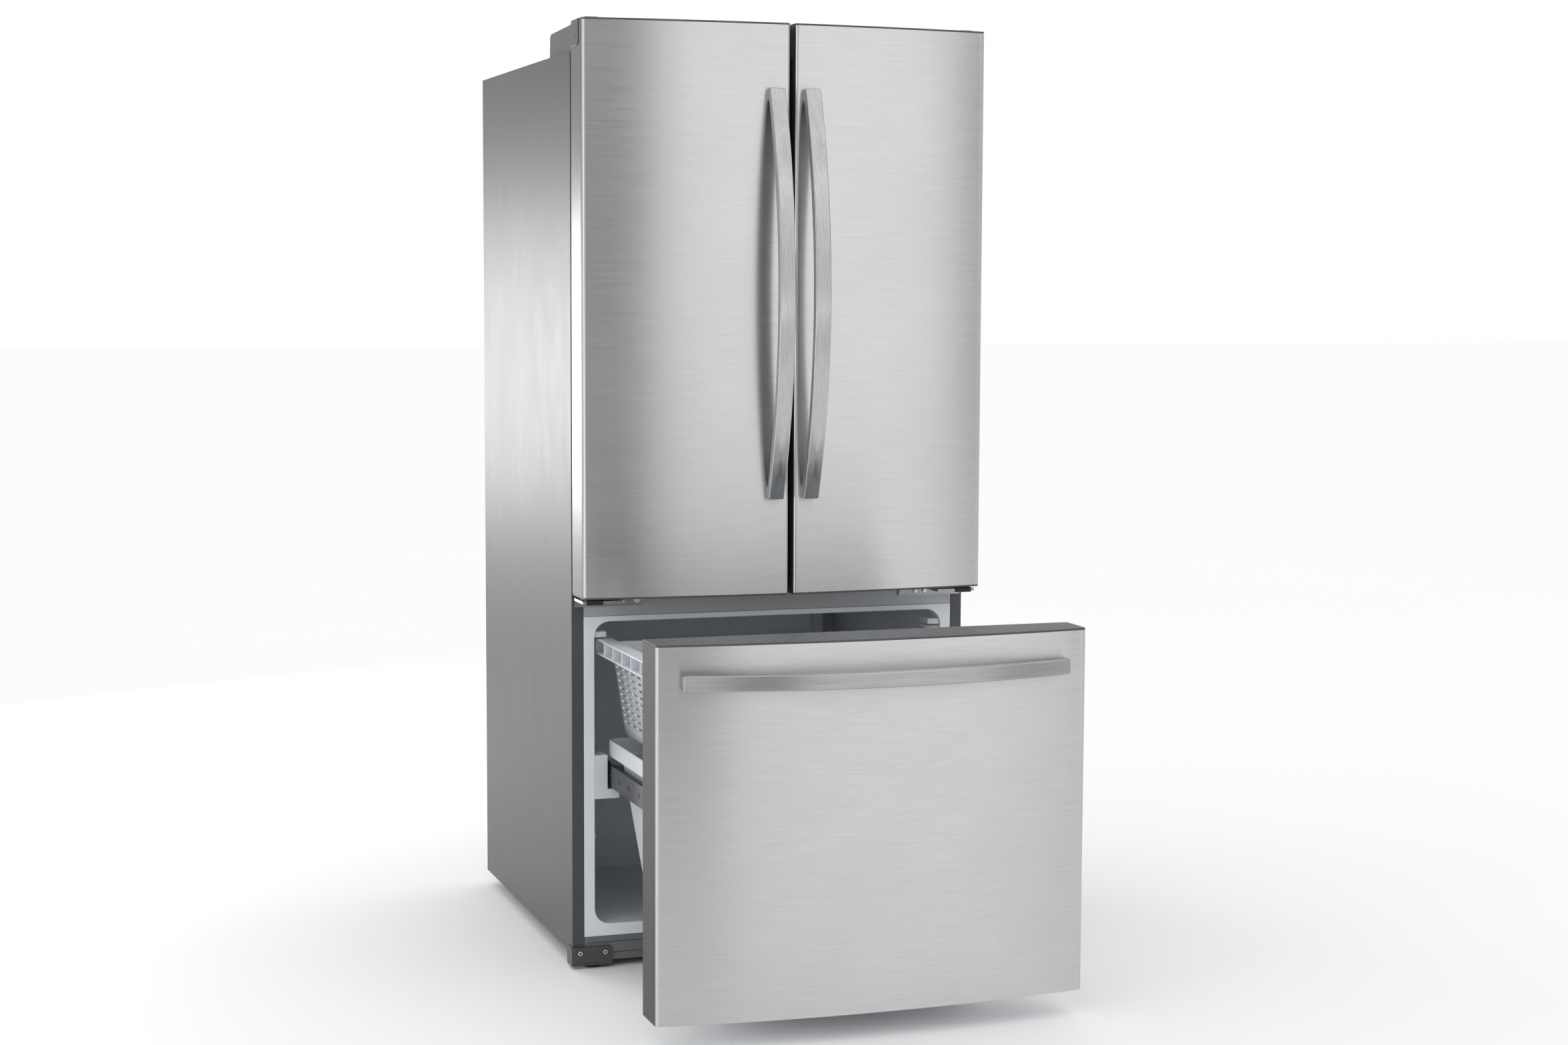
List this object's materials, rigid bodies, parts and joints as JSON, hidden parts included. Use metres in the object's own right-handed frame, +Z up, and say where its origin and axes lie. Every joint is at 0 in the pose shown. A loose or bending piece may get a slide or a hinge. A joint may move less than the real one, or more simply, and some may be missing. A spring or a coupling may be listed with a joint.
{
  "type": "french door refrigerator",
  "caption": "Upright refrigerator with side-by-side bowed fresh food doors on arched bar handles, over a pull-out freezer drawer with a basket above a deep bin.",
  "frame": {"origin": "on the floor under the middle of the whole object as stored, with the freezer drawer pulled out", "axes": "+Z up, the doors and drawer face -Y, +X is to the right seen from the front"},
  "size_m": [0.762, 1.358, 1.708],
  "materials": {
    "case_paint": "satin grey textured paint",
    "dark_trim": "satin dark grey",
    "door_steel": "brushed across the front",
    "handle_steel": "brushed along the bar",
    "cap_plastic": "moulded dark grey",
    "gasket": "soft grey seal",
    "liner": "light cool grey",
    "bin": "cool translucent white",
    "clear_plastic": "clear moulded plastic",
    "shelf_glass": "clear tempered glass in a plastic rim",
    "rail": "zinc-plated, dulled",
    "hinge_steel": "plated",
    "hinge_cover": "mid grey, fine texture",
    "black_parts": "black"
  },
  "bodies": {
    "cabinet": {"cabinet_shell": "case_paint", "rear_panel": "case_paint", "base_pan": "dark_trim", "front_flange": "dark_trim", "center_rail": "case_paint", "kick_plate": "dark_trim", "fresh_food_liner": "liner", "freezer_liner": "liner", "evaporator_cover": "liner", "upper_glass_shelf": "shelf_glass", "lower_glass_shelf": "shelf_glass", "crisper_cover_shelf": "shelf_glass", "compressor": "black_parts", "left_top_hinge": "hinge_steel", "right_top_hinge": "hinge_steel", "left_top_hinge_cover": "hinge_cover", "right_top_hinge_cover": "hinge_cover", "left_middle_hinge": "hinge_steel", "right_middle_hinge": "hinge_steel", "left_leg_bracket": "dark_trim", "right_leg_bracket": "dark_trim", "left_leveling_foot": "black_parts", "right_leveling_foot": "black_parts", "left_slide_bracket": "bin", "right_slide_bracket": "bin", "left_slide_outer_rail": "rail", "right_slide_outer_rail": "rail"},
    "drawer": {"freezer_front_skin": "door_steel", "freezer_front_top_cap": "cap_plastic", "freezer_front_liner": "liner", "freezer_front_gasket": "gasket", "freezer_handle": "handle_steel", "freezer_bin": "bin", "left_slide_inner_rail": "rail", "right_slide_inner_rail": "rail"},
    "basket": {"freezer_basket": "bin"},
    "mullion": {"folding_mullion": "hinge_cover"},
    "left_crisper_box": {"left_crisper": "clear_plastic"},
    "right_crisper_box": {"right_crisper": "clear_plastic"},
    "pantry_box": {"pantry_drawer": "clear_plastic"},
    "left_door": {"left_door_skin": "door_steel", "left_door_top_cap": "cap_plastic", "left_door_bottom_cap": "cap_plastic", "left_door_liner": "liner", "left_door_gasket": "gasket", "left_door_lower_bin": "clear_plastic", "left_door_upper_bin": "clear_plastic", "left_door_handle": "handle_steel"},
    "left_middle_slide": {"left_slide_middle_rail": "rail"},
    "left_roller": {"left_rear_roller": "black_parts"},
    "right_door": {"right_door_skin": "door_steel", "right_door_top_cap": "cap_plastic", "right_door_bottom_cap": "cap_plastic", "right_door_liner": "liner", "right_door_gasket": "gasket", "right_door_lower_bin": "clear_plastic", "right_door_upper_bin": "clear_plastic", "right_door_handle": "handle_steel"},
    "right_middle_slide": {"right_slide_middle_rail": "rail"},
    "right_roller": {"right_rear_roller": "black_parts"}
  },
  "joints": [
    {"name": "left_door_hinge", "type": "hinge", "parent": "cabinet", "child": "left_door", "pos_m": [-0.356, -0.096, 1.2], "axis": [0, 0, -1], "range_deg": [0, 125]},
    {"name": "right_door_hinge", "type": "hinge", "parent": "cabinet", "child": "right_door", "pos_m": [0.356, -0.096, 1.2], "axis": [0, 0, 1], "range_deg": [0, 125]},
    {"name": "mullion_hinge", "type": "hinge", "parent": "left_door", "child": "mullion", "pos_m": [-0.025, -0.038, 1.166], "axis": [0, 0, -1], "range_deg": [0, 90]},
    {"name": "freezer_drawer_slide", "type": "slide", "parent": "cabinet", "child": "drawer", "axis": [0, -1, 0], "range_m": [-0.467, 0.05]},
    {"name": "basket_slide", "type": "slide", "parent": "cabinet", "child": "basket", "axis": [0, -1, 0], "range_m": [-0.467, 0.05]},
    {"name": "left_middle_slide_run", "type": "slide", "parent": "cabinet", "child": "left_middle_slide", "axis": [0, -1, 0], "range_m": [-0.2335, 0.025]},
    {"name": "right_middle_slide_run", "type": "slide", "parent": "cabinet", "child": "right_middle_slide", "axis": [0, -1, 0], "range_m": [-0.2335, 0.025]},
    {"name": "left_crisper_slide", "type": "slide", "parent": "cabinet", "child": "left_crisper_box", "axis": [0, -1, 0], "range_m": [0, 0.05]},
    {"name": "right_crisper_slide", "type": "slide", "parent": "cabinet", "child": "right_crisper_box", "axis": [0, -1, 0], "range_m": [0, 0.05]},
    {"name": "pantry_slide", "type": "slide", "parent": "cabinet", "child": "pantry_box", "axis": [0, -1, 0], "range_m": [0, 0.05]},
    {"name": "left_roller_spin", "type": "hinge", "parent": "cabinet", "child": "left_roller", "pos_m": [-0.3, 0.639, 0.018], "axis": [1, 0, 0], "continuous": true},
    {"name": "right_roller_spin", "type": "hinge", "parent": "cabinet", "child": "right_roller", "pos_m": [0.3, 0.639, 0.018], "axis": [1, 0, 0], "continuous": true}
  ],
  "couplings": [
    {"joint": "basket_slide", "follows": "freezer_drawer_slide", "ratio": 1},
    {"joint": "left_middle_slide_run", "follows": "freezer_drawer_slide", "ratio": 0.5},
    {"joint": "right_middle_slide_run", "follows": "freezer_drawer_slide", "ratio": 0.5}
  ]
}
